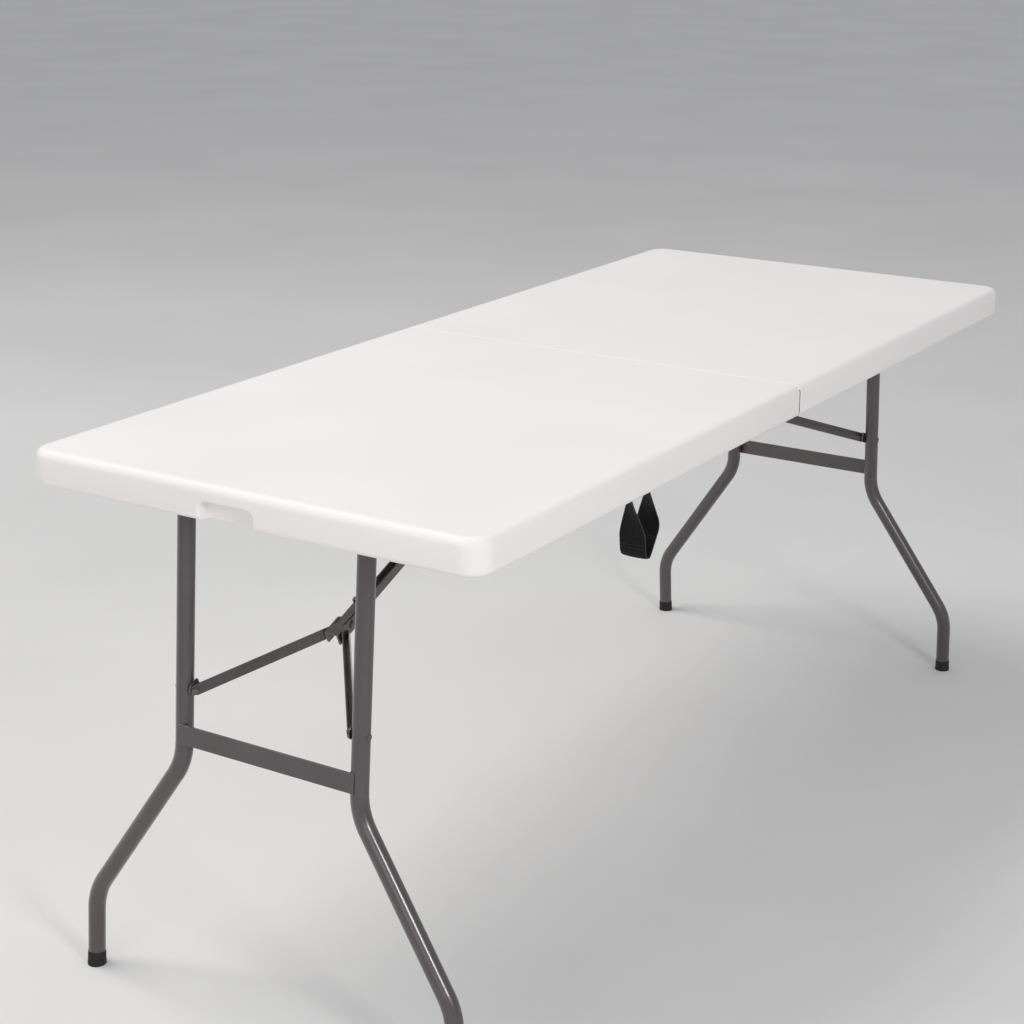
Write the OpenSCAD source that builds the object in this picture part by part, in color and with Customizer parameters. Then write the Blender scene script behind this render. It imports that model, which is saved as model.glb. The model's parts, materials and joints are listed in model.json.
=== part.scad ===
// Fold-in-half picnic table: two moulded plastic halves on a steel frame, with a folding
// leg set under each half. Origin on the floor at the centre of the table, +X along its
// length, +Y across it, +Z up. The left half is on -X, and the front long side is on -Y.

/* [Table top] */
// Length of the open table
table_l = 1700; // [1500:10:1900]
// Width of the table
table_w = 700; // [700:10:800]
// Height of the table top above the floor
table_h = 740; // [720:1:760]
// Height of the moulded rim, which is the thickness of one half
rim_h = 48; // [46:1:56]
// Thickness of the deck between the rims
deck_t = 17; // [14:1:18]
// Thickness of the rim walls
rim_t = 24; // [22:1:26]
// Plan radius of the two outer corners of each half
corner_r = 32; // [28:1:60]
// Radius of the rounded upper edge
edge_r = 12; // [8:1:14]
// Gap between the two halves at the fold
seam_gap = 0.8; // [0.6:0.1:1.5]
// Width of the finger notch in each end rim
notch_w = 84; // [70:1:100]
// Height of the finger notch
notch_h = 25; // [18:1:28]
// Depth of the finger notch, less than the rim wall
notch_depth = 20; // [15:1:20]
// Offset of the finger notch from the centre line
notch_y = 20; // [0:1:30]

/* [Leg sets] */
// Distance of each leg pivot from the centre of the table
pivot_x = 777; // [770:1:785]
// Outward lean of the open legs, in degrees
lean = 4.5; // [4:0.1:4.6]
// Outer diameter of the leg tube
tube_d = 24; // [22:0.5:25]
// Wall of the leg tube
tube_wall = 1.4; // [1:0.1:2]
// Distance of the upper legs from the centre line
leg_y = 142; // [135:1:150]
// Distance of the feet from the centre line
foot_y = 297; // [285:1:297]
// Length of leg from the pivot to the corner of the upper bend
bend_upper = 375; // [360:1:390]
// Length of leg from the pivot to the corner of the lower bend
bend_lower = 603; // [590:1:620]
// Radius of both bends, to the centre of the tube
bend_r = 85; // [60:1:100]
// Length of leg from the pivot to the middle of the crossbar
crossbar_at = 334; // [325:1:340]
// Height of the flat crossbar
crossbar_h = 27; // [20:1:30]
// Diameter of the axle tube that carries a leg set
axle_d = 19; // [16:0.5:19]
// Height of the rubber foot
foot_h = 20; // [14:1:24]

/* [Braces] */
// Length of leg from the pivot to the brace rivets
rivet_at = 273; // [265:1:280]
// Distance of the brace anchor from the centre of the table
anchor_x = 150; // [140:1:160]
// Height of the brace anchor pin below the table top
anchor_drop = 34; // [33:1:36]
// Width of the channel link
link_w = 15; // [14:0.5:18]
// Height of the channel link
link_h = 12; // [11:0.5:13]
// Height of the inner wall of the brace arms
arm_h = 17; // [15:0.5:17.5]
// Height of the outer lip of the brace arms
arm_lip = 9; // [8:1:14]
// Radius of the knee pin and of the brace rivets
pin_r = 3; // [2.5:0.1:3.2]
// Thickness of the wire of the lock ring
ring_wire = 3; // [2:0.5:3]

/* [Carry strap] */
// Width of the webbing
strap_w = 40; // [30:1:42]
// Thickness of the webbing loop
strap_t = 2.4; // [1.5:0.1:3]
// Drop of the loop below the deck
strap_drop = 146; // [120:1:160]

/* [Hidden] */
$fn = 48;

white = [0.93, 0.92, 0.91];
grey = [0.36, 0.34, 0.35];
zinc = [0.68, 0.68, 0.70];
black = [0.08, 0.08, 0.09];

half_l = table_l / 2;
half_w = table_w / 2;
rim_z = table_h - rim_h;            // underside of the rim
deck_z = table_h - deck_t;          // underside of the deck
fold_x = seam_gap / 2;
fold_wall = 16;
inner_y = half_w - rim_t;           // inner face of the long rims
cavity_r = 16;                      // plan radius of the corners inside the rim

rail_w = 12;
rail_h = deck_z - rim_z - 5;
rail_z = deck_z - rail_h;
rail_wall = 1.5;
rail_start = 18;
rail_end = half_l - rim_t - cavity_r;
rail_inner = inner_y - rail_w;      // inner face of the rails
rail_mid = inner_y - rail_w / 2;

pivot_z = table_h - 31;
axle_r = axle_d / 2;
running = 0.06;                     // radial clearance of the turning pins
tube_r = tube_d / 2;
splay = atan2(foot_y - leg_y, bend_lower - bend_upper);
bend_t = bend_r * tan(splay / 2);
bend_swell = 0.12;                  // growth of the tube's radius in the bends
splay_len = norm([foot_y - leg_y, bend_lower - bend_upper]) - 2 * bend_t;
leg_len = pivot_z / cos(lean);
foot_plug = 19;                     // part of the foot that plugs into the tube

pivot = [pivot_x, pivot_z];
rivet = pivot + rivet_at * [sin(lean), -cos(lean)];
anchor = [anchor_x, table_h - anchor_drop];
folded_rivet = pivot - [rivet_at, 0];
open_len = norm(rivet - anchor);
folded_len = norm(folded_rivet - anchor);
arm_len = (open_len - folded_len) / 2;    // both poses are straight, so the set folds flat
link_len = (open_len + folded_len) / 2;
slope = atan2(anchor[1] - rivet[1], rivet[0] - anchor[0]);
knee = rivet + arm_len * [-cos(slope), sin(slope)];

link_wall = 1.8;
plate_in = link_w / 2 + 0.5;        // inner face of the knee plates
plate_t = 3;
plate_out = plate_in + plate_t;
bridge_x0 = 14;
bridge_x1 = 32;
tongue_z = link_h / 2 + 0.4;
tongue_t = 2;
tongue_w = link_w - 3;
tongue_l = 30;
eye_t = 3.2;
eye_out = leg_y - tube_r - 0.6;     // outer face of the arm eyes, just clear of the legs
arm_w = 8;
arm_wall = 1.6;
arm_start = [bridge_x0 + 6, plate_out + 3];
arm_end = [arm_len - 3, eye_out - arm_w / 2 - 0.5];
arm_run = norm(arm_end - arm_start);
arm_turn = atan2(arm_end[1] - arm_start[1], arm_end[0] - arm_start[0]);
ring_x = tongue_l + 6;

hinge_r = 7;
hinge_pin_r = 3;
hinge_t = 2;
hinge_reach = 58;

screw_r = 2;
screw_head_r = 4.5;
rail_screw_xs = [95, 300, 505, 700];
clip_x = 655;
clip_w = 16;

strap_x = -378;
strap_y = 58 - half_w;
strap_top_x = 27;                   // each strand of the loop, from the middle of the strap
strap_low_left = -20.8;             // the strands where their quarter turn ends
strap_low_right = 27.2;
strap_tab = 26;                     // length of the webbing tabs under the deck
strap_screw_x = 11;
strap_screw_y = 15;
strap_plate_t = 1.6;
strap_twist_z = 33 - strap_drop;    // the strands make a quarter turn above this height

// mirrors the children for the left half, and for the front side
module on_half(side) { if (side < 0) mirror([1, 0, 0]) children(); else children(); }
module on_side(side) { if (side < 0) mirror([0, 1, 0]) children(); else children(); }
module both_sides() { for (side = [-1, 1]) on_side(side) children(); }
// frame of an open leg: origin at the pivot, -Z down along the leg
module leg_frame() { translate([pivot_x, 0, pivot_z]) rotate([0, -lean, 0]) children(); }
// frame of the open brace: origin at the knee pin, +X along the arms to the leg rivets
module knee_frame() { translate([knee[0], 0, knee[1]]) rotate([0, slope, 0]) children(); }
// cylinder along Y between two values of Y
module y_rod(r, y0, y1) { translate([0, y0, 0]) rotate([-90, 0, 0]) cylinder(r = r, h = y1 - y0); }

// ---- moulded panel ----
module plan(inset, r) {
    x1 = half_l - inset;
    y1 = half_w - inset;
    translate([fold_x, -y1]) square([x1 - r - fold_x, 2 * y1]);
    translate([fold_x, r - y1]) square([x1 - fold_x, 2 * (y1 - r)]);
    for (y = [-1, 1]) translate([x1 - r, y * (y1 - r)]) circle(r, $fn = 96);
}
module panel_skin() {
    linear_extrude(rim_h - edge_r) plan(0, corner_r);
    linear_extrude(rim_h) plan(edge_r, corner_r - edge_r);
    translate([0, 0, rim_h - edge_r]) {
        both_sides() translate([fold_x, half_w - edge_r, 0])
            rotate([0, 90, 0]) cylinder(r = edge_r, h = half_l - corner_r - fold_x);
        translate([half_l - edge_r, 0, 0]) y_rod(edge_r, corner_r - half_w, half_w - corner_r);
        both_sides() translate([half_l - corner_r, half_w - corner_r, 0])
            rotate_extrude(angle = 90, $fn = 96) translate([corner_r - edge_r, 0]) circle(edge_r);
    }
}
module panel_cavity() {
    x0 = fold_x + fold_wall;
    x1 = half_l - rim_t;
    r = cavity_r;
    h = rim_h - deck_t;
    translate([0, 0, -1]) linear_extrude(h + 1) {
        translate([x0, -inner_y]) square([x1 - r - x0, 2 * inner_y]);
        translate([x0, r - inner_y]) square([x1 - x0, 2 * (inner_y - r)]);
        for (y = [-1, 1]) translate([x1 - r, y * (inner_y - r)]) circle(r);
    }
    // openings in the fold wall for the hinges
    both_sides() translate([fold_x - 1, rail_inner - 12, -1]) cube([fold_wall + 2, rail_w + 12, h + 1]);
}
module notch() {
    r = 9;
    translate([half_l - notch_depth, notch_y - notch_w / 2, -1]) rotate([90, 0, 90])
        linear_extrude(notch_depth + 1) {
            square([notch_w, notch_h + 1 - r]);
            translate([r, 0]) square([notch_w - 2 * r, notch_h + 1]);
            for (y = [r, notch_w - r]) translate([y, notch_h + 1 - r]) circle(r);
        }
}
module fold_edge_rounding() {
    r = 4;
    translate([fold_x, half_w + 1, rim_h - r]) rotate([90, 0, 0]) linear_extrude(table_w + 2)
        difference() {
            translate([-1, 0]) square([r + 1, r + 1]);
            translate([r, 0]) circle(r);
        }
}
// the kiss-off dimples that join the two skins of the deck
module dimples() {
    pitch = 58;
    depth = 6;
    for (i = [0 : 12], j = [-4 : 4]) {
        x = 66 + i * pitch;
        y = j * pitch;
        clear_of_anchor = abs(y) > 40 || abs(x - anchor_x) > 60;
        clear_of_clips = abs(abs(y) - leg_y) > 44 || abs(x - clip_x) > 26;
        clear_of_strap = abs(y) < 230 || abs(x - 378) > 80;
        if (clear_of_anchor && clear_of_clips && clear_of_strap)
            translate([x, y, rim_h - deck_t - 1]) cylinder(r = 16, h = depth + 1, $fn = 32);
    }
}
module screw_spots() {
    both_sides() for (x = rail_screw_xs) translate([x, rail_mid, rail_z]) children();
}
module short_screw_spots() {
    for (x = [-32, 32], y = [-22, 22]) translate([anchor_x + x, y, deck_z - 2]) children();
    both_sides() for (y = [-20.5, 20.5]) translate([clip_x, leg_y + y, deck_z - 2.5]) children();
}
module panel(side) {
    color(white) difference() {
        on_half(side) difference() {
            translate([0, 0, rim_z]) difference() {
                panel_skin();
                panel_cavity();
                notch();
                fold_edge_rounding();
                dimples();
            }
            screw_spots() cylinder(r = screw_r, h = rail_h + 9);
            short_screw_spots() cylinder(r = screw_r, h = 10);
        }
        if (side < 0) strap_screw_spots() translate([0, 0, -1]) cylinder(r = screw_r, h = 8);
    }
}

// ---- steel frame under each half ----
module rail(side, face) {
    color(grey) on_half(side) on_side(face) difference() {
        translate([rail_start, rail_inner, rail_z]) cube([rail_end - rail_start, rail_w, rail_h]);
        translate([rail_start - 1, rail_inner + rail_wall, rail_z + rail_wall])
            cube([rail_end - rail_start + 2, rail_w - 2 * rail_wall, rail_h - 2 * rail_wall]);
        translate([pivot_x, 0, pivot_z]) y_rod(axle_r + running, rail_inner - 1, inner_y + 1);
        for (x = rail_screw_xs) translate([x, rail_mid, rail_z - 1]) cylinder(r = 2.4, h = rail_h + 2);
        for (x = [32, 48]) translate([x, 0, pivot_z]) y_rod(2.4, rail_inner - 1, rail_inner + 4);
    }
}
module screw(length) {
    translate([0, 0, -2.6]) cylinder(r = screw_head_r, h = 2.6, $fn = 32);
    translate([0, 0, -0.1]) cylinder(r = screw_r, h = length + 0.1, $fn = 32);
}
module frame_screws(side) {
    color(zinc) on_half(side) {
        screw_spots() screw(rail_h + 8);
        short_screw_spots() screw(9);
    }
}
// pressed plates pinned together at the fold, flush with the underside of the rims
module hinge_plates(side) {
    y_layer = side < 0 ? rail_inner - hinge_t : rail_inner - 2 * hinge_t - 0.6;
    color(zinc) on_half(side) both_sides() difference() {
        union() {
            translate([0, y_layer + hinge_t, 0]) rotate([90, 0, 0]) linear_extrude(hinge_t) {
                translate([0, rim_z]) circle(hinge_r);
                polygon([[-3, rim_z + 5.5], [4, rim_z - 5.5], [26, rail_z + 2], [hinge_reach, rail_z + 2],
                    [hinge_reach, deck_z - 5], [24, deck_z - 5]]);
            }
            if (side > 0) translate([22, y_layer, rail_z + 2])
                cube([hinge_reach - 22, rail_inner - y_layer, rail_h - 7]);
        }
        translate([0, 0, rim_z]) y_rod(side < 0 ? hinge_pin_r : hinge_pin_r + running, 0, half_w);
        for (x = [32, 48]) translate([x, 0, pivot_z]) y_rod(2.4, 0, half_w);
    }
}
module hinge_pins() {
    color(zinc) both_sides() translate([0, 0, rim_z]) {
        y_rod(hinge_pin_r, rail_inner - 2 * hinge_t - 2, rail_inner);
        y_rod(5.5, rail_inner - 2 * hinge_t - 3.4, rail_inner - 2 * hinge_t - 1.2);
    }
}
module hinge_rivets(side) {
    inner = side < 0 ? rail_inner - hinge_t : rail_inner - 2 * hinge_t - 0.6;
    color(zinc) on_half(side) both_sides() for (x = [32, 48]) translate([x, 0, pivot_z]) {
        y_rod(2.4, inner, rail_inner + rail_wall);
        y_rod(4.2, inner - 1.6, inner);
    }
}
module brace_anchor(side) {
    ear_in = plate_in;
    ear_drop = deck_z - anchor[1] + 9;
    color(grey) on_half(side) translate([anchor[0], 0, 0]) difference() {
        union() {
            translate([-42, -30, deck_z - 2]) cube([84, 60, 2]);
            both_sides() translate([0, ear_in + 2.5, 0]) rotate([90, 0, 0]) linear_extrude(2.5) {
                translate([0, anchor[1]]) circle(9);
                polygon([[-9, anchor[1]], [9, anchor[1]], [20, deck_z - 1], [-20, deck_z - 1]]);
            }
        }
        translate([0, 0, anchor[1]]) y_rod(4, -40, 40);
        for (x = [-32, 32], y = [-22, 22]) translate([x, y, deck_z - ear_drop]) cylinder(r = 2.4, h = ear_drop + 1);
    }
}
module anchor_pin(side) {
    color(zinc) on_half(side) translate([anchor[0], 0, anchor[1]]) {
        y_rod(4, -plate_in - 3.5, plate_in + 3.5);
        both_sides() y_rod(6.5, plate_in + 2.5, plate_in + 4.5);
    }
}
// cradles that hold the folded legs
module leg_clips(side) {
    gap = tube_r + 0.4;
    color(black) on_half(side) both_sides() translate([clip_x - clip_w / 2, leg_y, 0]) difference() {
        union() {
            translate([0, -gap - 2.5, rim_z + 10]) cube([clip_w, 2 * gap + 5, deck_z - rim_z - 10]);
            translate([0, -27, deck_z - 2.5]) cube([clip_w, 54, 2.5]);
        }
        translate([-1, -gap, rim_z]) cube([clip_w + 2, 2 * gap, deck_z - rim_z - 1]);
        for (y = [-20.5, 20.5]) translate([clip_w / 2, y, rim_z]) cylinder(r = 2.4, h = rim_h);
    }
}

// ---- leg set, which turns about its axle ----
module axle(side) {
    color(grey) on_half(side) translate([pivot_x, 0, pivot_z]) difference() {
        y_rod(axle_r, 0.5 - inner_y, inner_y - 0.5);
        y_rod(axle_r - 1.5, -inner_y, inner_y);
    }
}
module axle_washers(side) {
    color(zinc) on_half(side) both_sides() translate([pivot_x, 0, pivot_z]) difference() {
        y_rod(axle_r + 3.5, rail_inner - 2.5, rail_inner - 0.5);
        y_rod(axle_r, rail_inner - 3, rail_inner);
    }
}
// a rod along the whole leg: the tube swells a little where it is bent, and the straights
// run a little way into the bends
module leg_rod(r, top, bottom) {
    bend_tube = r + bend_swell;
    lap = 0.5;
    y1 = leg_y + bend_r * (1 - cos(splay));
    z1 = -(bend_upper - bend_t) - bend_r * sin(splay);
    y2 = y1 + splay_len * sin(splay);
    z2 = z1 - splay_len * cos(splay);
    z3 = -(bend_lower + bend_t);
    translate([0, leg_y, -(bend_upper - bend_t) - lap])
        cylinder(r = r, h = bend_upper - bend_t + lap + top);
    translate([0, leg_y + bend_r, -(bend_upper - bend_t)]) rotate([90, 0, 90]) rotate([0, 0, 180])
        rotate_extrude(angle = splay, $fn = 96) translate([bend_r, 0]) circle(bend_tube, $fn = 48);
    translate([0, y1, z1]) rotate([splay, 0, 0]) translate([0, 0, -splay_len - lap])
        cylinder(r = r, h = splay_len + 2 * lap);
    translate([0, y2 - bend_r * cos(splay), z2 - bend_r * sin(splay)]) rotate([90, 0, 90])
        rotate_extrude(angle = splay, $fn = 96) translate([bend_r, 0]) circle(bend_tube, $fn = 48);
    translate([0, foot_y, -bottom]) cylinder(r = r, h = bottom + z3 + lap);
}
module leg(side, face) {
    color(grey) on_half(side) on_side(face) leg_frame() difference() {
        leg_rod(tube_r, 3, leg_len - foot_h);
        leg_rod(tube_r - tube_wall, 4, leg_len - foot_h + 1);
        y_rod(axle_r, 0, half_w);
        translate([0, 0, -rivet_at]) y_rod(pin_r, leg_y - tube_d, leg_y + tube_d);
    }
}
module crossbar(side) {
    r = 1.5;
    x0 = tube_r - 2;
    x1 = tube_r + 1.8;
    color(grey) on_half(side) leg_frame() difference() {
        translate([0, leg_y, -crossbar_at]) rotate([90, 0, 0]) linear_extrude(2 * leg_y) {
            translate([x0, -crossbar_h / 2]) square([x1 - x0 - r, crossbar_h]);
            translate([x0, r - crossbar_h / 2]) square([x1 - x0, crossbar_h - 2 * r]);
            for (z = [-1, 1]) translate([x1 - r, z * (crossbar_h / 2 - r)]) circle(r, $fn = 32);
        }
        both_sides() translate([0, leg_y, -leg_len]) cylinder(r = tube_r, h = leg_len);
    }
}
module foot(side, face) {
    floor_cut = 20;
    color(black) on_half(side) on_side(face) difference() {
        leg_frame() translate([0, foot_y, -leg_len]) {
            translate([0, 0, -3]) cylinder(r1 = tube_r + 1.1, r2 = tube_r + 0.3, h = foot_h + 3);
            translate([0, 0, foot_h - 1]) cylinder(r = tube_r - tube_wall, h = foot_plug);
        }
        translate([half_l - 200, 0, -floor_cut]) cube([400, half_w, floor_cut]);
    }
}
module leg_rivets(side) {
    color(grey) on_half(side) leg_frame() both_sides() translate([0, 0, -rivet_at]) {
        y_rod(pin_r, leg_y - tube_r + 0.2, leg_y + tube_r + 0.6);
        y_rod(4.2, leg_y + tube_r - 0.8, leg_y + tube_r + 1);
    }
}

// ---- V brace: two arms, the knee bracket and its pins ----
// an arm's channel: open upwards, with a tall inner wall, a low outer lip and a round end
module arm_channel() {
    translate(arm_start) rotate(arm_turn) difference() {
        union() {
            translate([-8, -arm_w / 2, -arm_h / 2]) cube([arm_run + 8, arm_w, arm_h]);
            translate([arm_run, 0, 0]) y_rod(arm_h / 2, -arm_w / 2, arm_w / 2);
        }
        translate([-20, arm_wall - arm_w / 2, arm_wall - arm_h / 2])
            cube([arm_run + 40, arm_w - 2 * arm_wall, arm_h]);
        translate([-20, 0, arm_lip - arm_h / 2]) cube([arm_run + 40, arm_w, arm_h]);
    }
}
module arm(side, face) {
    color(grey) on_half(side) knee_frame() on_side(face) difference() {
        union() {
            arm_channel();
            translate([arm_len - 12, eye_out - eye_t, -arm_h / 2]) cube([12, eye_t, arm_h]);
            translate([arm_len, 0, 0]) y_rod(arm_h / 2, eye_out - eye_t, eye_out);
        }
        translate([-50, -plate_out, -30]) cube([200, 2 * plate_out, 60]);
        translate([arm_len - 60, eye_out, -30]) cube([100, 20, 60]);
        translate([arm_len, 0, 0]) y_rod(pin_r, eye_out - 20, eye_out + 1);
    }
}
module arm_rivets(side) {
    color(zinc) on_half(side) knee_frame() both_sides() {
        translate([arm_len, 0, 0]) y_rod(pin_r, eye_out - arm_w, eye_out);
        translate(arm_end) rotate(arm_turn) translate([3.5, 0, 0])
            y_rod(4.8, -arm_w / 2 - 1.8, 0.5 - arm_w / 2);
    }
}
module knee_bracket(side) {
    top = tongue_z + tongue_t;
    color(grey) on_half(side) knee_frame() difference() {
        union() {
            both_sides() {
                y_rod(link_h / 2 + 1, plate_in, plate_out);
                translate([0, plate_in, -arm_h / 2]) cube([bridge_x1, plate_t, arm_h]);
                translate([bridge_x0, plate_in, 0]) cube([bridge_x1 - bridge_x0, plate_t, top]);
            }
            translate([bridge_x0, -plate_out, tongue_z]) cube([bridge_x1 - bridge_x0, 2 * plate_out, tongue_t]);
            translate([-tongue_l, -tongue_w / 2, tongue_z])
                cube([tongue_l + bridge_x0 + 1, tongue_w, tongue_t]);
        }
        y_rod(pin_r, -40, 40);
    }
}
module knee_pin(side) {
    color(zinc) on_half(side) knee_frame() {
        y_rod(pin_r, -plate_out - 1, plate_out + 1);
        both_sides() y_rod(5.5, plate_out, plate_out + 2.2);
    }
}

// ---- channel link and its lock ring ----
module link(side) {
    w = link_w / 2;
    color(grey) on_half(side) knee_frame() difference() {
        union() {
            translate([-link_len, -w, -link_h / 2]) cube([link_len, link_w, link_h]);
            for (x = [0, -link_len]) translate([x, 0, 0]) y_rod(link_h / 2, -w, w);
        }
        translate([-link_len - link_h, link_wall - w, link_wall - link_h / 2])
            cube([link_len + 2 * link_h, link_w - 2 * link_wall, link_h]);
        translate([-6, link_wall - w, -link_h]) cube([20, link_w - 2 * link_wall, 2 * link_h]);
        y_rod(pin_r + running, -w - 1, w + 1);
        translate([-link_len, 0, 0]) y_rod(4 + running, -w - 1, w + 1);
    }
}
// one turn of the lock ring: a rounded rectangle of wire round the link and the tongue
module ring_turn() {
    r = ring_wire / 2;
    y = link_w / 2 + 0.6 + r;
    z0 = -link_h / 2 - 1.4 - r;
    z1 = tongue_z + tongue_t + 0.5 + r;
    c = 2.5;
    both_sides() translate([0, y, z0 + c]) cylinder(r = r, h = z1 - z0 - 2 * c, $fn = 24);
    for (z = [z0, z1]) translate([0, 0, z]) rotate([90, 0, 0])
        cylinder(r = r, h = 2 * (y - c), center = true, $fn = 24);
    both_sides() {
        translate([0, y - c, z1 - c]) rotate([90, 0, 90])
            rotate_extrude(angle = 90, $fn = 48) translate([c, 0]) circle(r, $fn = 24);
        translate([0, y - c, z0 + c]) rotate([90, 0, 90]) rotate([0, 0, -90])
            rotate_extrude(angle = 90, $fn = 48) translate([c, 0]) circle(r, $fn = 24);
    }
}
module lock_ring(side) {
    color(zinc) on_half(side) knee_frame()
        for (i = [0, 1]) translate([-ring_x - i * 0.94 * ring_wire, 0, 0]) ring_turn();
}

// ---- carry strap under the front of the left half ----
// side view of the lower part of the loop
module strap_fold() {
    t = strap_t;
    b = -strap_drop;
    left = strap_low_left - t / 2;
    right = strap_low_right + t / 2;
    polygon([[left, strap_twist_z], [-12, b + 6], [-5, b], [3, b], [12, b + 7], [right, strap_twist_z],
        [right - t, strap_twist_z], [12 - t, b + 9], [2, b + t], [-4, b + t], [t - 12, b + 7],
        [left + t, strap_twist_z]]);
}
module strap_place() { translate([strap_x, strap_y, deck_z]) children(); }
module strap_screw_spots() {
    strap_place() for (x = [-strap_top_x, strap_top_x], dx = [-strap_screw_x, strap_screw_x])
        translate([x + dx, strap_screw_y, 0]) children();
}
// one strand: its width runs along Y at the loop and along X under the deck
module strap_strand(x_low, x_top) {
    tilt = atan2(x_top - x_low, -strap_twist_z);
    translate([x_low, 0, strap_twist_z - 2]) rotate([0, tilt, 0])
        linear_extrude(height = 1 - strap_twist_z, twist = 90, slices = 24)
            square([strap_t, strap_w], center = true);
}
module carry_strap() {
    color(black) difference() {
        strap_place() {
            strap_strand(strap_low_left, -strap_top_x);
            strap_strand(strap_low_right, strap_top_x);
            translate([0, strap_w / 2, 0]) rotate([90, 0, 0]) linear_extrude(strap_w) strap_fold();
            for (x = [-strap_top_x, strap_top_x])
                translate([x - strap_w / 2, -strap_t / 2, -strap_t]) cube([strap_w, strap_tab, strap_t]);
        }
        strap_screw_spots() translate([0, 0, -10]) cylinder(r = screw_r, h = 11);
    }
}
module strap_plates() {
    color(zinc) difference() {
        strap_place() for (x = [-strap_top_x, strap_top_x])
            translate([x - strap_w / 2 + 1, strap_screw_y - 7, -strap_t - strap_plate_t])
                cube([strap_w - 2, 14, strap_plate_t]);
        strap_screw_spots() translate([0, 0, -10]) cylinder(r = screw_r, h = 11);
    }
}
module strap_screws() {
    color(zinc) strap_screw_spots() translate([0, 0, -strap_t - strap_plate_t]) screw(strap_t + 8);
}

panel(-1);  // left_panel
panel(1);  // right_panel
rail(-1, -1);  // left_front_rail
rail(-1, 1);  // left_back_rail
rail(1, -1);  // right_front_rail
rail(1, 1);  // right_back_rail
frame_screws(-1);  // left_frame_screws
frame_screws(1);  // right_frame_screws
hinge_plates(-1);  // left_hinge_plates
hinge_plates(1);  // right_hinge_plates
hinge_pins();
hinge_rivets(-1);  // left_hinge_rivets
hinge_rivets(1);  // right_hinge_rivets
brace_anchor(-1);  // left_brace_anchor
brace_anchor(1);  // right_brace_anchor
anchor_pin(-1);  // left_anchor_pin
anchor_pin(1);  // right_anchor_pin
leg_clips(-1);  // left_leg_clips
leg_clips(1);  // right_leg_clips
axle(-1);  // left_axle
axle(1);  // right_axle
axle_washers(-1);  // left_axle_washers
axle_washers(1);  // right_axle_washers
leg(-1, -1);  // left_front_leg
leg(-1, 1);  // left_back_leg
leg(1, -1);  // right_front_leg
leg(1, 1);  // right_back_leg
crossbar(-1);  // left_crossbar
crossbar(1);  // right_crossbar
foot(-1, -1);  // left_front_foot
foot(-1, 1);  // left_back_foot
foot(1, -1);  // right_front_foot
foot(1, 1);  // right_back_foot
leg_rivets(-1);  // left_leg_rivets
leg_rivets(1);  // right_leg_rivets
arm(-1, -1);  // left_front_arm
arm(-1, 1);  // left_back_arm
arm(1, -1);  // right_front_arm
arm(1, 1);  // right_back_arm
knee_bracket(-1);  // left_knee_bracket
knee_bracket(1);  // right_knee_bracket
knee_pin(-1);  // left_knee_pin
knee_pin(1);  // right_knee_pin
arm_rivets(-1);  // left_arm_rivets
arm_rivets(1);  // right_arm_rivets
link(-1);  // left_link
link(1);  // right_link
lock_ring(-1);  // left_lock_ring
lock_ring(1);  // right_lock_ring
carry_strap();
strap_plates();
strap_screws();
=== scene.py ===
"""Looks of the folding picnic table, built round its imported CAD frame."""

import json
import math

import bmesh
import bpy
from mathutils import Matrix, Vector


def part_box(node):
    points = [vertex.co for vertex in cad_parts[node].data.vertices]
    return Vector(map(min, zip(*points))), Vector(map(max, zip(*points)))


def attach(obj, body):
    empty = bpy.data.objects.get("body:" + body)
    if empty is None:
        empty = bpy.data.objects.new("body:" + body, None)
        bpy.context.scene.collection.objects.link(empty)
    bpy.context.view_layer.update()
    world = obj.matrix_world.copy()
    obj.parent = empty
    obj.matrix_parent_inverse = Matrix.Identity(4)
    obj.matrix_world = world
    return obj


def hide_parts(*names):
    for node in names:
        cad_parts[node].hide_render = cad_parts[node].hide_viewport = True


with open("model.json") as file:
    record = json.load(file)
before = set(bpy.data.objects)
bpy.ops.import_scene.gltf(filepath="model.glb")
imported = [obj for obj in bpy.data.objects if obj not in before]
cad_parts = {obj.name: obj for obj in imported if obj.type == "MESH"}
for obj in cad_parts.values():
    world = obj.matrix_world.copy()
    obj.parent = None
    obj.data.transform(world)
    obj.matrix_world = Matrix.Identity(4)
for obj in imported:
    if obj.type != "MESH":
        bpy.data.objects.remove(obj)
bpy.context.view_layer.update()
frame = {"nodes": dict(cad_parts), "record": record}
nodes = frame["nodes"]
scene = bpy.context.scene
MM = 0.001

# ---------------------------------------------------------------- camera

LENS, SENSOR = 72.341, 36.0
SHIFT_X, SHIFT_Y = -0.00645, -0.01143
EYE = Vector((-2.6706, -1.5415, 1.4771))
YAW, PITCH, ROLL = math.radians(32.067), math.radians(-17.525), math.radians(0.31)

forward = Vector(
    (math.cos(YAW) * math.cos(PITCH), math.sin(YAW) * math.cos(PITCH), math.sin(PITCH))
)
level = forward.cross(Vector((0, 0, 1))).normalized()
above = level.cross(forward)
right = math.cos(ROLL) * level + math.sin(ROLL) * above
up = -math.sin(ROLL) * level + math.cos(ROLL) * above

cam_data = bpy.data.cameras.new("Camera")
cam = bpy.data.objects.new("Camera", cam_data)
scene.collection.objects.link(cam)
turn = Matrix((right, up, -forward)).transposed().to_4x4()
cam.matrix_world = Matrix.Translation(EYE) @ turn
cam_data.sensor_width = SENSOR
cam_data.lens = LENS
cam_data.shift_x = SHIFT_X
cam_data.shift_y = SHIFT_Y
cam_data.clip_end = 150
scene.camera = cam

# ---------------------------------------------------------------- sizes
# read from the CAD's boxes, or the same as in the part's source where a box doesn't show them

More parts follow.
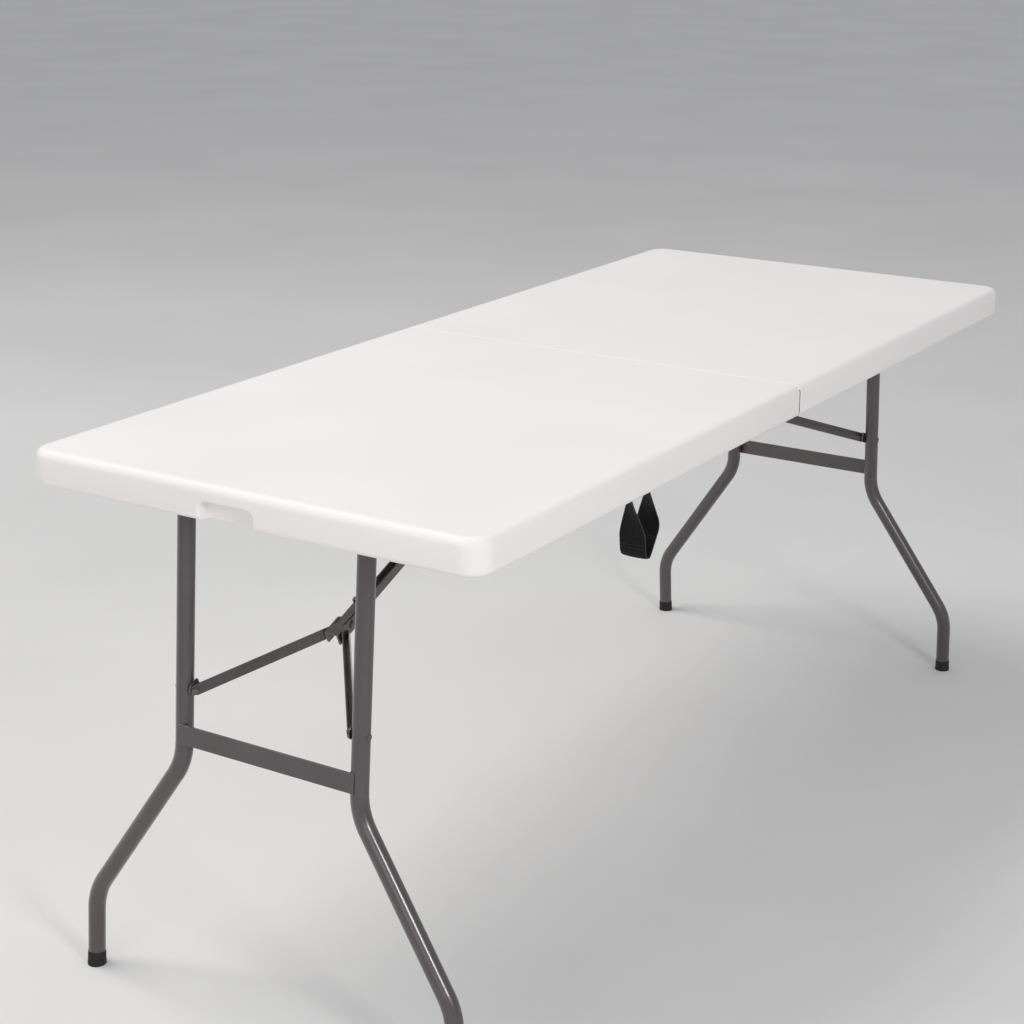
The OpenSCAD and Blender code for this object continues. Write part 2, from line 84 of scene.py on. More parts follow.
p_low, p_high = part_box("right_panel")
HALF_L, HALF_W, TOP_Z, RIM_Z = p_high.x, p_high.y, p_high.z, p_low.z
FOLD_X = p_low.x
RIM_H = TOP_Z - RIM_Z
DECK_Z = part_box("right_front_rail")[1].z
RAIL_INNER = -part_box("right_front_rail")[1].y
INNER_Y = -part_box("right_front_rail")[0].y
RIM_T = HALF_W - INNER_Y
LEAN = math.radians(4.5)
TUBE_R = 12 * MM
CORNER_R, CAVITY_R = 32 * MM, 16 * MM
PIVOT = Vector((777 * MM, 0, TOP_Z - 31 * MM))
LEG_LEN = PIVOT.z / math.cos(LEAN)
CROSSBAR_AT, CROSSBAR_H = 334 * MM, 27 * MM
FOOT_H = 20 * MM
LEG_Y = 142 * MM
FOOT_Y = 297 * MM
ANCHOR_X, CLIP_X = 150 * MM, 655 * MM
STRAP_AT = Vector((-378 * MM, -292 * MM, DECK_Z))
STRAP_W, STRAP_T = 40 * MM, 1.7 * MM
TWIST_Z = -113 * MM  # the strands have made their quarter turn at this height
SIDES = {"left": -1, "right": 1}

# ---------------------------------------------------------------- materials


def new_material(name):
    m = bpy.data.materials.new(name)
    m.use_nodes = True
    return m, m.node_tree, m.node_tree.nodes["Principled BSDF"]


def node_of(tree, kind, **values):
    n = tree.nodes.new(kind)
    for key, value in values.items():
        if key in n.inputs:
            n.inputs[key].default_value = value
        else:
            setattr(n, key, value)
    return n


def ramp(tree, stops):
    n = tree.nodes.new("ShaderNodeValToRGB")
    e = n.color_ramp.elements
    while len(e) < len(stops):
        e.new(0.5)
    for element, (at, colour) in zip(e, stops):
        element.position = at
        element.color = (*colour, 1) if len(colour) == 3 else (colour[0],) * 3 + (1,)
    return n


def noise(tree, vector, scale, detail=3.0, rough=0.5):
    n = node_of(tree, "ShaderNodeTexNoise", Scale=scale, Detail=detail, Roughness=rough)
    tree.links.new(vector, n.inputs["Vector"])
    return n


def bump(tree, height, strength, distance, normal=None):
    n = node_of(tree, "ShaderNodeBump", Strength=strength, Distance=distance)
    tree.links.new(height, n.inputs["Height"])
    if normal is not None:
        tree.links.new(normal, n.inputs["Normal"])
    return n


def object_coords(tree):
    return tree.nodes.new("ShaderNodeTexCoord").outputs["Object"]


def math_node(tree, kind, first, second=None):
    n = node_of(tree, "ShaderNodeMath", operation=kind)
    tree.links.new(first, n.inputs[0])
    if isinstance(second, bpy.types.NodeSocket):
        tree.links.new(second, n.inputs[1])
    elif second is not None:
        n.inputs[1].default_value = second
    return n.outputs[0]


def vary(tree, source, stops, socket):
    """Sends a noise through a ramp into a socket."""
    n = ramp(tree, stops)
    tree.links.new(source.outputs["Fac"], n.inputs["Fac"])
    tree.links.new(n.outputs["Color"], socket)


def moulded_plastic():
    """White HDPE with the fine pebble of the mould, very slightly uneven in tone."""
    material, tree, shader = new_material("TopPlastic")
    at = object_coords(tree)
    tone = noise(tree, at, 2.6, 4.0, 0.55)
    grain = noise(tree, at, 900, 2.0, 0.6)
    tones = ramp(tree, [(0.3, (0.862, 0.828, 0.820)), (0.7, (0.888, 0.854, 0.846))])
    specks = ramp(tree, [(0.35, (0.965,)), (0.65, (1.0,))])
    tree.links.new(tone.outputs["Fac"], tones.inputs["Fac"])
    tree.links.new(grain.outputs["Fac"], specks.inputs["Fac"])
    mix = node_of(tree, "ShaderNodeMix", data_type="RGBA", blend_type="MULTIPLY")
    mix.inputs[0].default_value = 1.0
    tree.links.new(tones.outputs["Color"], mix.inputs[6])
    tree.links.new(specks.outputs["Color"], mix.inputs[7])
    # painted shade: the faces that meet at the fold are painted dark low down, so the fold shows as a
    # thin dark shadow line
    coords = tree.nodes.new("ShaderNodeTexCoord")
    fold_shade_mask = None
    for source, axis, kind, limit in (
        ("Object", "X", "LESS_THAN", 1.8 * MM),
        ("Object", "Z", "LESS_THAN", TOP_Z - 7 * MM),
        ("Normal", "X", "GREATER_THAN", 0.55),
    ):
        axes = tree.nodes.new("ShaderNodeSeparateXYZ")
        tree.links.new(coords.outputs[source], axes.inputs["Vector"])
        test = math_node(tree, kind, math_node(tree, "ABSOLUTE", axes.outputs[axis]), limit)
        fold_shade_mask = test if fold_shade_mask is None else math_node(tree, "MULTIPLY", fold_shade_mask, test)
    # the dark colour mixed in here is painted shade in the gap between the two halves
    fold_shade_mix = node_of(tree, "ShaderNodeMix", data_type="RGBA", blend_type="MIX")
    fold_shade_mix.inputs[7].default_value = (0.10, 0.095, 0.093, 1)
    tree.links.new(fold_shade_mask, fold_shade_mix.inputs[0])
    tree.links.new(mix.outputs[2], fold_shade_mix.inputs[6])
    tree.links.new(fold_shade_mix.outputs[2], shader.inputs["Base Color"])
    gloss = [(0.3, (0.52,)), (0.7, (0.62,))]
    vary(tree, noise(tree, at, 5.0, 5.0, 0.6), gloss, shader.inputs["Roughness"])
    cells = node_of(tree, "ShaderNodeTexVoronoi", Scale=520.0, feature="SMOOTH_F1")
    tree.links.new(at, cells.inputs["Vector"])
    pebble = bump(tree, cells.outputs["Distance"], 0.35, 0.00022)
    fine = bump(tree, grain.outputs["Fac"], 0.2, 0.0001, pebble.outputs["Normal"])
    wave = bump(tree, noise(tree, at, 14, 2.0).outputs["Fac"], 0.08, 0.0012, fine.outputs["Normal"])
    tree.links.new(wave.outputs["Normal"], shader.inputs["Normal"])
    shader.inputs["IOR"].default_value = 1.5
    shader.inputs["Specular IOR Level"].default_value = 0.4
    return material


def powder_coat():
    """Warm grey powder coat: orange peel, a glossy skin, and a painted highlight along its edges."""
    material, tree, shader = new_material("FramePowderCoat")
    at = object_coords(tree)
    tones = ramp(
        tree,
        [
            (0.32, (0.060, 0.047, 0.049)),
            (0.60, (0.069, 0.055, 0.057)),
            (0.80, (0.082, 0.066, 0.068)),
        ],
    )
    tree.links.new(noise(tree, at, 16, 5.0, 0.62).outputs["Fac"], tones.inputs["Fac"])
    # pressed edges are slightly rounded in shading, and their colour is painted lighter: a painted
    # highlight along the edges
    soft = node_of(tree, "ShaderNodeBevel", samples=4, Radius=0.0007)
    flat = tree.nodes.new("ShaderNodeNewGeometry")
    turn = node_of(tree, "ShaderNodeVectorMath", operation="DOT_PRODUCT")
    tree.links.new(soft.outputs["Normal"], turn.inputs[0])
    tree.links.new(flat.outputs["Normal"], turn.inputs[1])
    edge_highlight_ramp = ramp(tree, [(0.80, (0.75,)), (0.97, (0.0,))])
    tree.links.new(turn.outputs["Value"], edge_highlight_ramp.inputs["Fac"])
    edge_highlight_mix = node_of(tree, "ShaderNodeMix", data_type="RGBA", blend_type="MIX")
    # this lighter colour is a painted highlight on the edges
    edge_highlight_mix.inputs[7].default_value = (0.22, 0.195, 0.20, 1)
    tree.links.new(edge_highlight_ramp.outputs["Color"], edge_highlight_mix.inputs[0])
    tree.links.new(tones.outputs["Color"], edge_highlight_mix.inputs[6])
    tree.links.new(edge_highlight_mix.outputs[2], shader.inputs["Base Color"])
    gloss = [(0.35, (0.30,)), (0.7, (0.38,))]
    vary(tree, noise(tree, at, 40, 4.0, 0.6), gloss, shader.inputs["Roughness"])
    peel = bump(tree, noise(tree, at, 420, 2.0).outputs["Fac"], 0.06, 0.00006, soft.outputs["Normal"])
    tree.links.new(peel.outputs["Normal"], shader.inputs["Normal"])
    shader.inputs["Metallic"].default_value = 0.2
    shader.inputs["Coat Weight"].default_value = 0.9
    shader.inputs["Coat Roughness"].default_value = 0.2
    return material


def zinc_plate():
    """Dull zinc plate on rivets, pins, screws and rings, with darker stains."""
    material, tree, shader = new_material("ZincSteel")
    at = object_coords(tree)
    tones = [
        (0.3, (0.12, 0.115, 0.115)),
        (0.55, (0.23, 0.225, 0.22)),
        (0.8, (0.36, 0.35, 0.345)),
    ]
    vary(tree, noise(tree, at, 120, 4.0, 0.6), tones, shader.inputs["Base Color"])
    gloss = [(0.3, (0.26,)), (0.75, (0.46,))]
    vary(tree, noise(tree, at, 260, 3.0), gloss, shader.inputs["Roughness"])
    marks = bump(tree, noise(tree, at, 900, 2.0).outputs["Fac"], 0.15, 0.00006)
    tree.links.new(marks.outputs["Normal"], shader.inputs["Normal"])
    shader.inputs["Metallic"].default_value = 1.0
    return material


def black_polymer(name, dark, light, rough, grain, depth):
    material, tree, shader = new_material(name)
    at = object_coords(tree)
    tones = [(0.35, dark), (0.75, light)]
    vary(tree, noise(tree, at, 60, 4.0, 0.6), tones, shader.inputs["Base Color"])
    gloss = [(0.3, (rough - 0.07,)), (0.7, (rough + 0.07,))]
    vary(tree, noise(tree, at, 130, 3.0), gloss, shader.inputs["Roughness"])
    pores = bump(tree, noise(tree, at, grain, 3.0, 0.6).outputs["Fac"], 0.3, depth)
    tree.links.new(pores.outputs["Normal"], shader.inputs["Normal"])
    return material


def webbing():
    """Black woven webbing: UVs run across (u) and along (v) the strap, in metres."""
    material, tree, shader = new_material("StrapWebbing")
    uv = tree.nodes.new("ShaderNodeUVMap")
    uv.uv_map = "weave"
    split = tree.nodes.new("ShaderNodeSeparateXYZ")
    tree.links.new(uv.outputs["UV"], split.inputs["Vector"])
    rib, thread, edge_highlight_w = 1.6 * MM, 1.2 * MM, 1.1 * MM
    # a chevron: v is shifted by the distance to the nearest of the lines a quarter strap apart
    fold = math_node(tree, "PINGPONG", split.outputs["X"], STRAP_W / 8)
    slant = math_node(tree, "ADD", split.outputs["Y"], fold)
    ribs = math_node(tree, "SINE", math_node(tree, "MULTIPLY", slant, 2 * math.pi / rib))
    threads = math_node(tree, "MULTIPLY", split.outputs["X"], 2 * math.pi / thread)
    warp = math_node(tree, "SINE", threads)
    height = math_node(tree, "ADD", ribs, math_node(tree, "MULTIPLY", warp, 0.5))
    tones = ramp(tree, [(0.0, (0.0015, 0.0015, 0.0015)), (1.0, (0.008, 0.0075, 0.0075))])
    share = math_node(tree, "MULTIPLY", math_node(tree, "ADD", height, 1.5), 1 / 3)
    tree.links.new(share, tones.inputs["Fac"])
    # the webbing's edges are painted lighter: a painted highlight along each edge
    to_edge = math_node(tree, "PINGPONG", split.outputs["X"], STRAP_W / 2)
    edge_highlight_mask = math_node(tree, "LESS_THAN", to_edge, edge_highlight_w)
    edge_highlight_mix = node_of(tree, "ShaderNodeMix", data_type="RGBA", blend_type="MIX")
    # this lighter colour is a painted highlight on the webbing's edges
    edge_highlight_mix.inputs[7].default_value = (0.045, 0.042, 0.042, 1)
    tree.links.new(edge_highlight_mask, edge_highlight_mix.inputs[0])
    tree.links.new(tones.outputs["Color"], edge_highlight_mix.inputs[6])
    tree.links.new(edge_highlight_mix.outputs[2], shader.inputs["Base Color"])
    weave = bump(tree, height, 0.5, 0.00022)
    tree.links.new(weave.outputs["Normal"], shader.inputs["Normal"])
    fuzz = [(0.3, (0.62,)), (0.7, (0.78,))]
    vary(tree, noise(tree, uv.outputs["UV"], 300, 3.0), fuzz, shader.inputs["Roughness"])
    shader.inputs["Specular IOR Level"].default_value = 0.25
    return material


def weld_metal():
    material, tree, shader = new_material("WeldBead")
    at = object_coords(tree)
    tones = [(0.3, (0.07, 0.061, 0.063)), (0.75, (0.115, 0.10, 0.104))]
    vary(tree, noise(tree, at, 180, 4.0), tones, shader.inputs["Base Color"])
    gloss = [(0.3, (0.3,)), (0.7, (0.45,))]
    vary(tree, noise(tree, at, 400, 3.0), gloss, shader.inputs["Roughness"])
    lumps = bump(tree, noise(tree, at, 500, 3.0).outputs["Fac"], 0.5, 0.0004)
    tree.links.new(lumps.outputs["Normal"], shader.inputs["Normal"])
    return material


TOP = moulded_plastic()
STEEL = powder_coat()
ZINC = zinc_plate()
RUBBER = black_polymer(
    "FootRubber", (0.002, 0.002, 0.0022), (0.006, 0.006, 0.0063), 0.62, 900, 0.0002
)
CLIP = black_polymer(
    "ClipPlastic", (0.016, 0.016, 0.018), (0.030, 0.030, 0.032), 0.42, 1200, 0.0001
)
WEB = webbing()
THREAD = black_polymer(
    "StrapThread", (0.016, 0.016, 0.017), (0.035, 0.034, 0.034), 0.55, 1500, 0.0001
)
WELD = weld_metal()
BY_SLOT = {
    "top_plastic": TOP,
    "frame_steel": STEEL,
    "zinc_steel": ZINC,
    "foot_rubber": RUBBER,
    "clip_plastic": CLIP,
    "strap_webbing": WEB,
}

# ---------------------------------------------------------------- mesh helpers


def cos_sin(degrees):
    angle = math.radians(degrees)
    return math.cos(angle), math.sin(angle)


def arc(cx, cy, r, start, end, steps):
    """Points of an arc in degrees, both ends included."""
    turns = [cos_sin(start + (end - start) * i / steps) for i in range(steps + 1)]
    return [(cx + r * c, cy + r * s) for c, s in turns]


def circle(r, turns):
    return arc(0, 0, r, 0, 360, turns)[:-1]


def skin(loops, cap_start=True, cap_end=True):
    """Points and faces that join consecutive loops of the same length, by index."""
    faces, n = [], len(loops[0])
    for k in range(len(loops) - 1):
        a, b = k * n, (k + 1) * n
        for i in range(n):
            j = (i + 1) % n
            faces.append((a + i, a + j, b + j, b + i))
    if cap_start:
        faces.append(tuple(range(n - 1, -1, -1)))
    if cap_end:
        faces.append(tuple(range((len(loops) - 1) * n, len(loops) * n)))
    return [v for loop in loops for v in loop], faces


def add_skin(verts, faces, loops):
    """Adds a closed skin over the loops to lists of points and faces."""
    base = len(verts)
    points, sides = skin(loops)
    verts.extend(points)
    faces.extend(tuple(base + i for i in side) for side in sides)


def closed_mesh(name, verts, faces, merge=0):
    mesh = bpy.data.meshes.new(name)
    mesh.from_pydata([tuple(v) for v in verts], [], faces)
    bm = bmesh.new()
    bm.from_mesh(mesh)
    if merge:
        bmesh.ops.remove_doubles(bm, verts=bm.verts, dist=merge)
    bmesh.ops.recalc_face_normals(bm, faces=bm.faces)
    bm.to_mesh(mesh)
    bm.free()
    return mesh


def plain_object(name, verts, faces):
    o = bpy.data.objects.new(name, closed_mesh(name, verts, faces))
    scene.collection.objects.link(o)
    return o


def mesh_piece(name, verts, faces, material, body, slot, sharp=35):
    mesh = closed_mesh(name, verts, faces, merge=1e-7)
    return finish_piece(name, mesh, material, body, sharp)


def finish_piece(name, mesh, material, body, sharp):
    mesh.materials.clear()
    mesh.materials.append(material)
    for p in mesh.polygons:
        p.use_smooth = True
    mesh.set_sharp_from_angle(angle=math.radians(sharp))
    o = bpy.data.objects.new(name, mesh)
    scene.collection.objects.link(o)
    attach(o, body)
    return o


def lathe(name, profile, place, material, body, slot, turns, sharp):
    """Turns (radius, height) points round the Z axis of the matrix place."""
    loops = [[place @ Vector((x, y, z)) for x, y in circle(r, turns)] for r, z in profile]
    closed = skin(loops, cap_start=profile[0][0] > 0, cap_end=profile[-1][0] > 0)
    return mesh_piece(name, *closed, material, body, slot, sharp)


# ---------------------------------------------------------------- moulded panels


def panel_ring(side, inset, fold_inset, z, corner, fold_corner):
    """One closed loop round a half: a rounded rectangle at height z."""
    x0, x1, y1 = FOLD_X + fold_inset, HALF_L - inset, HALF_W - inset
    r = max(corner, 0.0008)
    q = max(fold_corner, 0.0008)
    points = []
    for cx, cy, radius, start, steps in (
        (x1 - r, -(y1 - r), r, -90, 20),
        (x1 - r, y1 - r, r, 0, 20),
        (x0 + q, y1 - q, q, 90, 6),
        (x0 + q, -(y1 - q), q, 180, 6),
    ):
        points += arc(cx, cy, radius, start, start + 90, steps)
    return [Vector((side * x, y, RIM_Z + z)) for x, y in points]


def panel_profile():
    """(inset, inset on the fold side, height) from the deck's underside out and up."""
    wall, fold = RIM_T, 16 * MM
    deck = DECK_Z - RIM_Z
    fillet = 3 * MM
    lower, lower_fold = 8 * MM, 3.5 * MM
    upper, upper_fold = 12 * MM, 1.2 * MM
    steps = [(wall + 2 * fillet, fold + 2 * fillet, deck)]  # keeps the underside's shading flat
    for a in (0, 30, 60, 90):  # fillet between the deck's underside and the walls
        c, s = cos_sin(a)
        steps.append((wall + fillet * (1 - s), fold + fillet * (1 - s), deck - fillet * (1 - c)))
    for a in (0, 30, 60, 90):  # inner edge of the rim's underside
        c, s = cos_sin(a)
        steps.append((wall - fillet * (1 - c), fold - fillet * (1 - c), fillet * (1 - s)))
    for a in (0, 18, 36, 54, 72, 90):  # outer edge of the rim's underside
        c, s = cos_sin(a)
        steps.append((lower * (1 - s), lower_fold * (1 - s), lower * (1 - c)))
    for a in range(0, 91, 9):  # the soft upper edge
        c, s = cos_sin(a)
        steps.append((upper * (1 - c), upper_fold * (1 - c), RIM_H - upper * (1 - s)))
    steps.append((upper + fillet, 2 * upper_fold, RIM_H))  # keeps the top's shading flat
    return steps


def notch_cutter(side):
    """The finger notch: a slot whose mouth flares with a rounded lip."""
    depth, lip, back, overshoot = 20 * MM, 4 * MM, 3 * MM, 5 * MM
    half_width, height, corner = 42 * MM, 25 * MM, 9 * MM
    off_centre, below = 20 * MM, 8 * MM
    stations = [(HALF_L - depth, -back)]
    for a in (30, 60, 90):
        c, s = cos_sin(a)
        stations.append((HALF_L - depth + back * (1 - c), -back * (1 - s)))
    for a in (0, 22, 45, 67, 88):
        c, s = cos_sin(a)
        stations.append((HALF_L - lip + lip * s, lip * (1 - c)))
    stations.append((HALF_L + overshoot, lip))
    loops = []
    for x, grow in stations:
        half, top, r = half_width + grow, height + grow, corner + grow
        section = [(-half, -below)] + arc(-half + r, top - r, r, 180, 90, 8)
        section += arc(half - r, top - r, r, 90, 0, 8) + [(half, -below)]
        loops.append([Vector((side * x, off_centre + y, RIM_Z + z)) for y, z in section])
    return plain_object("notch_cutter", *skin(loops))


def hinge_slot_cutters(side):
    """A slot in the fold wall at each end, where the hinge plates pass."""
    verts, faces = [], []
    low, high = RIM_Z - 2 * MM, DECK_Z - 3 * MM
    for s in (-1, 1):
        inner, outer = s * (RAIL_INNER - 12 * MM), s * (INNER_Y + 0.5 * MM)
        section = ((inner, low), (outer, low), (outer, high), (inner, high))
        ends = (FOLD_X - 2 * MM, FOLD_X + 20 * MM)
        loops = [[Vector((side * x, y, z)) for y, z in section] for x in ends]
        add_skin(verts, faces, loops)
    return plain_object("hinge_slots", verts, faces)


def no_room(x, y):
    """True where a fitting under the deck leaves no room for a dimple."""
    anchor = abs(y) < 40 * MM and abs(x - ANCHOR_X) < 60 * MM
    clip = abs(abs(y) - LEG_Y) < 44 * MM and abs(x - CLIP_X) < 26 * MM
    strap = abs(y) > 230 * MM and abs(x - abs(STRAP_AT.x)) < 79 * MM
    return anchor or clip or strap


def dimple_cutters(side):
    """The kiss-off dimples: each cutter's mouth flares, so every dimple has a soft lip."""
    first, pitch, turns = 66 * MM, 58 * MM, 20
    mouth, lip, crown, wall = 19 * MM, 3 * MM, 2.5 * MM, 0.5 * MM
    profile = [(mouth, -2 * MM), (mouth, 0.0)]
    for a in (20, 45, 70, 90):
        c, s = cos_sin(a)
        profile.append((mouth - lip * s, lip * (1 - c)))
    for a in (0, 30, 60, 90):
        c, s = cos_sin(a)
        profile.append((mouth - lip - crown * (1 - c), lip + wall + crown * s))
    verts, faces = [], []
    for i in range(13):
        for j in range(-4, 5):
            x, y = first + i * pitch, j * pitch
            if no_room(x, y):
                continue
            loops = []
            for r, z in profile:
                ring = circle(r, turns)
                loops.append([Vector((side * (x + u), y + v, DECK_Z + z)) for u, v in ring])
            add_skin(verts, faces, loops)
    return plain_object("dimples", verts, faces)


def build_panel(half):
    side = SIDES[half]
    loops = []
    for inset, fold_inset, z in panel_profile():
        in_cavity = inset > RIM_T - 4 * MM
        corner = CAVITY_R + RIM_T - inset if in_cavity else CORNER_R - inset
        fold_corner = 8 * MM if in_cavity else 2 * MM
        loops.append(panel_ring(side, inset, fold_inset, z, corner, fold_corner))
    name = half + "_moulded_panel"
    blank = plain_object(name, *skin(loops))
    for cutter in (notch_cutter(side), hinge_slot_cutters(side), dimple_cutters(side)):
        cut = blank.modifiers.new("cut", "BOOLEAN")
        cut.operation, cut.solver, cut.object = "DIFFERENCE", "EXACT", cutter
        depsgraph = bpy.context.evaluated_depsgraph_get()
        mesh = bpy.data.meshes.new_from_object(blank.evaluated_get(depsgraph))
        blank.modifiers.clear()
        blank.data = mesh
        bpy.data.objects.remove(cutter)
    bpy.data.objects.remove(blank)
    panel = finish_piece(name, mesh, TOP, half + "_table_half", 32)
    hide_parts(half + "_panel")


for half in SIDES:
    build_panel(half)

# ---------------------------------------------------------------- CAD nodes that stay: finish

for subpart in frame["record"]["subparts"]:
    node = nodes[subpart["node"]]
    node.data.materials.clear()
    node.data.materials.append(BY_SLOT[subpart["material_slot"]])

# ---------------------------------------------------------------- carry strap


def smooth_path(points, step):
    """Even points along a rounded line through the corner points."""
    dense = []
    n = len(points)
    for i in range(n - 1):
        a, b = Vector(points[i]), Vector(points[i + 1])
        for k in range(12):
            dense.append(a.lerp(b, k / 12))
    dense.append(Vector(points[-1]))
    for _ in range(8):
        dense = [dense[0]] + [
            (dense[i - 1] + dense[i] * 2 + dense[i + 1]) / 4 for i in range(1, len(dense) - 1)
        ] + [dense[-1]]
    lengths = [0.0]
    for a, b in zip(dense, dense[1:]):
        lengths.append(lengths[-1] + (b - a).length)
    count = max(2, round(lengths[-1] / step))
    out, k = [], 0
    for i in range(count + 1):
        at = lengths[-1] * i / count
        while k < len(lengths) - 2 and lengths[k + 1] < at:
            k += 1
        f = (at - lengths[k]) / max(lengths[k + 1] - lengths[k], 1e-9)
        out.append(dense[k].lerp(dense[k + 1], f))
    return out, lengths[-1]


def strap_frame(path, i):
    """Directions along, across and out of the webbing at a point of its path."""
    p, n = path[i], len(path)
    ahead = (path[min(i + 1, n - 1)] - path[max(i - 1, 0)]).normalized()
    turned = min(max(p.z / TWIST_Z, 0), 1)
    turned = turned**1.5
    width = Vector((math.cos(turned * math.pi / 2), math.sin(turned * math.pi / 2), 0))
    width = (width - ahead * width.dot(ahead)).normalized()
    return ahead, width, ahead.cross(width)


def strap_point(path, i, u):
    """Middle of the webbing at u (-0.5 to 0.5) across: it cups a little where it hangs."""
    _, width, out = strap_frame(path, i)
    share = i / (len(path) - 1)
    hang = math.sin(math.pi * min(max((share - 0.12) / 0.76, 0), 1))
    cup = (0.25 - u * u) * 4 * hang * 1.3 * MM * math.sin(9 * share + 1.0)
    return STRAP_AT + path[i] + width * (u * STRAP_W) + out * cup, out


def build_strap():
    corners = [
        (-27, 24, -1.3), (-27, 4, -1.3), (-27, 0.4, -4), (-22, 0, -40), (-15, 0, -85),
        (-12.5, 0, -113), (-10, 0, -138), (-5, 0, -145.3), (1.5, 0, -145.3), (8, 0, -137),
        (28, 0, -107), (30.5, 0, -97), (30, 0, -60), (28.5, 0, -25), (27, 0.4, -4),
        (27, 4, -1.3), (27, 24, -1.3),
    ]
    path, length = smooth_path([Vector(c) * MM for c in corners], 1.6 * MM)
    across = 12
    rings, uvs = [], []
    for i in range(len(path)):
        front, back = [], []
        for k in range(across + 1):
            u = k / across - 0.5
            centre, out = strap_point(path, i, u)
            thick = STRAP_T / 2 * (1 - 0.55 * (abs(u) * 2) ** 10)
            front.append(centre + out * thick)
            back.append(centre - out * thick)
        rings.append(front + back[::-1])
        uvs.append(length * i / (len(path) - 1))
    mesh = closed_mesh("carry_webbing", *skin(rings))
    layer = mesh.uv_layers.new(name="weave")
    m = len(rings[0])
    for poly in mesh.polygons:
        for li, vi in zip(poly.loop_indices, poly.vertices):
            ring, k = divmod(vi, m)
            u = k if k <= across else 2 * across + 1 - k
            layer.data[li].uv = (u / across * STRAP_W, uvs[ring])
    web = finish_piece("carry_webbing", mesh, WEB, "left_table_half", 60)
    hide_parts("carry_strap")
    return web, path, length


strap, strap_path, strap_length = build_strap()


def build_stitches():
    """Rows of thread across the webbing near its bottom fold."""
    verts, faces = [], []

    def stitch(a, b, out):
        side = (b - a).normalized().cross(out).normalized() * 0.45 * MM
        lift = out * 0.55 * MM
        loops = []
        for f, high in ((0, 0.1), (0.25, 0.8), (0.5, 1.0), (0.75, 0.8), (1, 0.1)):
            c = a.lerp(b, f)
            crown = [c + side * k + lift * high for k in (-0.6, 0.6)]
            loops.append([c - side, *crown, c + side])
        add_skin(verts, faces, loops)

    first, pitch, length = -17 * MM, 4 * MM, 2.6 * MM
    for share in (0.425, 0.437, 0.575, 0.587):
        i = round(share * (len(strap_path) - 1))
        for k in range(9):
            start = first + k * pitch
            ends = [strap_point(strap_path, i, x / STRAP_W) for x in (start, start + length)]
            (a, out), (b, _) = ends
            for sign in (1, -1):
                lift = out * (sign * STRAP_T / 2 * 0.92)
                stitch(a + lift, b + lift, out * sign)
    return mesh_piece("strap_stitches", verts, faces, THREAD, "left_table_half", "strap_webbing")


stitches = build_stitches()

# ---------------------------------------------------------------- leg details


def leg_place(half, face, y, down):
    """Matrix at a point of a leg, with Z up along the leg; down is measured from the pivot."""
    s = SIDES[half]
    turn = Matrix.Rotation(-s * LEAN, 4, "Y")
    at = Matrix.Translation((s * PIVOT.x, 0, PIVOT.z))
    return at @ turn @ Matrix.Translation((0, y * (1 if face == "back" else -1), -down))


def foot_profile():
    """(radius, height) of a rubber foot, in mm, from the middle of its sole to its plug."""
    top, plug_top = FOOT_H / MM, FOOT_H / MM + 18
    plug, hollow = TUBE_R / MM - 1.4, TUBE_R / MM - 2.4
    profile = [(0, 1.6), (7, 1.6), (7.6, -2.6), (11.6, -2.6), (12.5, -2.2), (12.95, -1.2)]
    profile += [(13.05, 0.4), (12.95, 4.4), (12.75, 5.2), (12.6, 5.6)]
    z = 6.6
    while z < top - 3:  # shallow grip grooves
        profile += [(12.6, z), (12.6, z + 1.7), (12.35, z + 2.0), (12.35, z + 2.4)]
        z += 2.7
    profile += [(12.5, top - 1.2), (12.4, top - 0.5), (12.1, top)]
    profile += [(plug, top), (plug, plug_top), (hollow, plug_top), (hollow, top - 4)]
    return profile


def build_foot(half, face):
    place = leg_place(half, face, FOOT_Y, LEG_LEN)
    profile = [(r * MM, z * MM) for r, z in foot_profile()]
    name = f"{half}_{face}_foot"
    o = lathe(name + "_cap", profile, place, RUBBER, half + "_leg_set", "foot_rubber", 44, 40)
    for v in o.data.vertices:
        v.co.z = max(v.co.z, 0.0)
    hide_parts(name)


for half in SIDES:
    for face in ("front", "back"):
        build_foot(half, face)


def build_weld(name, points, radius, body):
    """A lumpy bead along a line of points."""
    loops = []
    n = len(points)
    for i, p in enumerate(points):
        ahead = (points[min(i + 1, n - 1)] - points[max(i - 1, 0)]).normalized()
        a = ahead.orthogonal().normalized()
        b = ahead.cross(a)
        taper = 0.45 if i in (0, n - 1) else 1
        swell = radius * (0.82 + 0.18 * math.cos(i * 2.1)) * taper
        loops.append([p + a * x + b * y for x, y in circle(swell, 10)])
    mesh_piece(name, *skin(loops), WELD, body, "frame_steel", 60)


WELD_R = 1.3 * MM

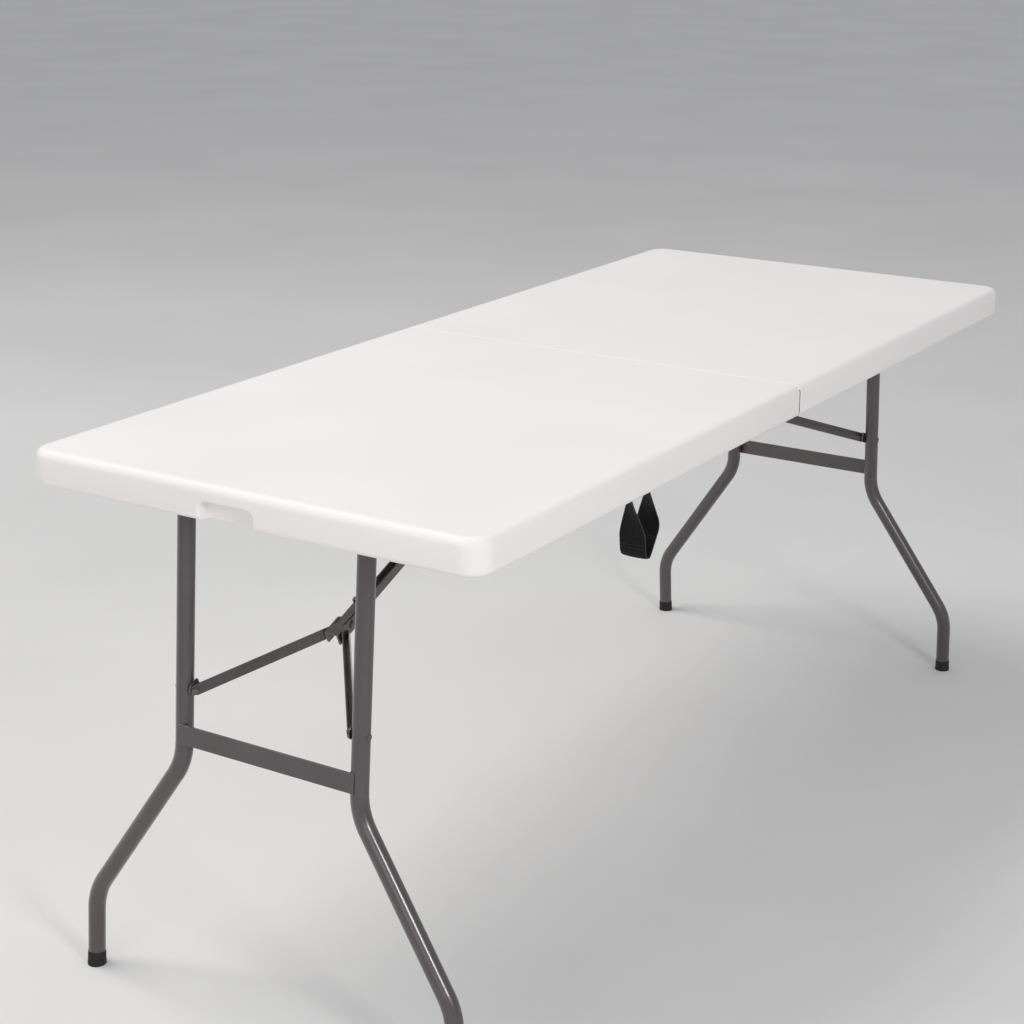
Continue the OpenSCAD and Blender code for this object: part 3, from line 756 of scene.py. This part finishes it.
for half, side in SIDES.items():
    for face, inward in (("front", 1), ("back", -1)):
        for end, height in (("upper", CROSSBAR_H / 2), ("lower", -CROSSBAR_H / 2)):
            place = leg_place(half, face, LEG_Y, CROSSBAR_AT - height)
            bead = arc(0, 0, TUBE_R + 0.2 * MM, 2, 42, 14)
            line = [place @ Vector((side * x, inward * y, 0)) for x, y in bead]
            build_weld(f"{half}_{face}_weld_{end}", line, WELD_R, half + "_leg_set")

# ---------------------------------------------------------------- floor and light

scene.view_settings.view_transform = "Standard"

floor_mesh = bpy.data.meshes.new("Floor")
near, far = -20, 60
floor_corners = [(near, near, 0), (far, near, 0), (far, far, 0), (near, far, 0)]
floor_mesh.from_pydata(floor_corners, [], [(0, 1, 2, 3)])
floor = bpy.data.objects.new("Floor", floor_mesh)
scene.collection.objects.link(floor)
floor_mat, tree, shader = new_material("PaleFloor")
floor_tones = [(0.3, (0.71, 0.71, 0.70)), (0.7, (0.75, 0.75, 0.74))]
vary(tree, noise(tree, object_coords(tree), 1.3, 3.0), floor_tones, shader.inputs["Base Color"])
shader.inputs["Roughness"].default_value = 0.85
floor_mesh.materials.append(floor_mat)

world = bpy.data.worlds.new("World")
scene.world = world
world.use_nodes = True
sky = world.node_tree.nodes["Background"]
sky.inputs["Color"].default_value = (0.96, 0.965, 1.0, 1)
sky.inputs["Strength"].default_value = 0.5


def area_light(name, place, target, size, power, colour=(1, 1, 1)):
    data = bpy.data.lights.new(name, "AREA")
    data.shape, data.size, data.size_y = "RECTANGLE", size[0], size[1]
    data.energy, data.color = power, colour
    o = bpy.data.objects.new(name, data)
    o.location = place
    o.rotation_mode = "QUATERNION"
    o.rotation_quaternion = (Vector(target) - Vector(place)).to_track_quat("-Z", "Y")
    scene.collection.objects.link(o)


area_light("Key", (-0.9, 2.4, 4.8), (0, 0, 0.4), (2.6, 2.6), 122, (1, 0.975, 0.95))
area_light("Fill", (-4.4, -1.0, 2.0), (0, 0, 0.5), (3.2, 2.4), 31)
area_light("Streak", (-2.1, -3.5, 2.2), (-0.7, -0.1, 0.4), (0.8, 0.6), 48)
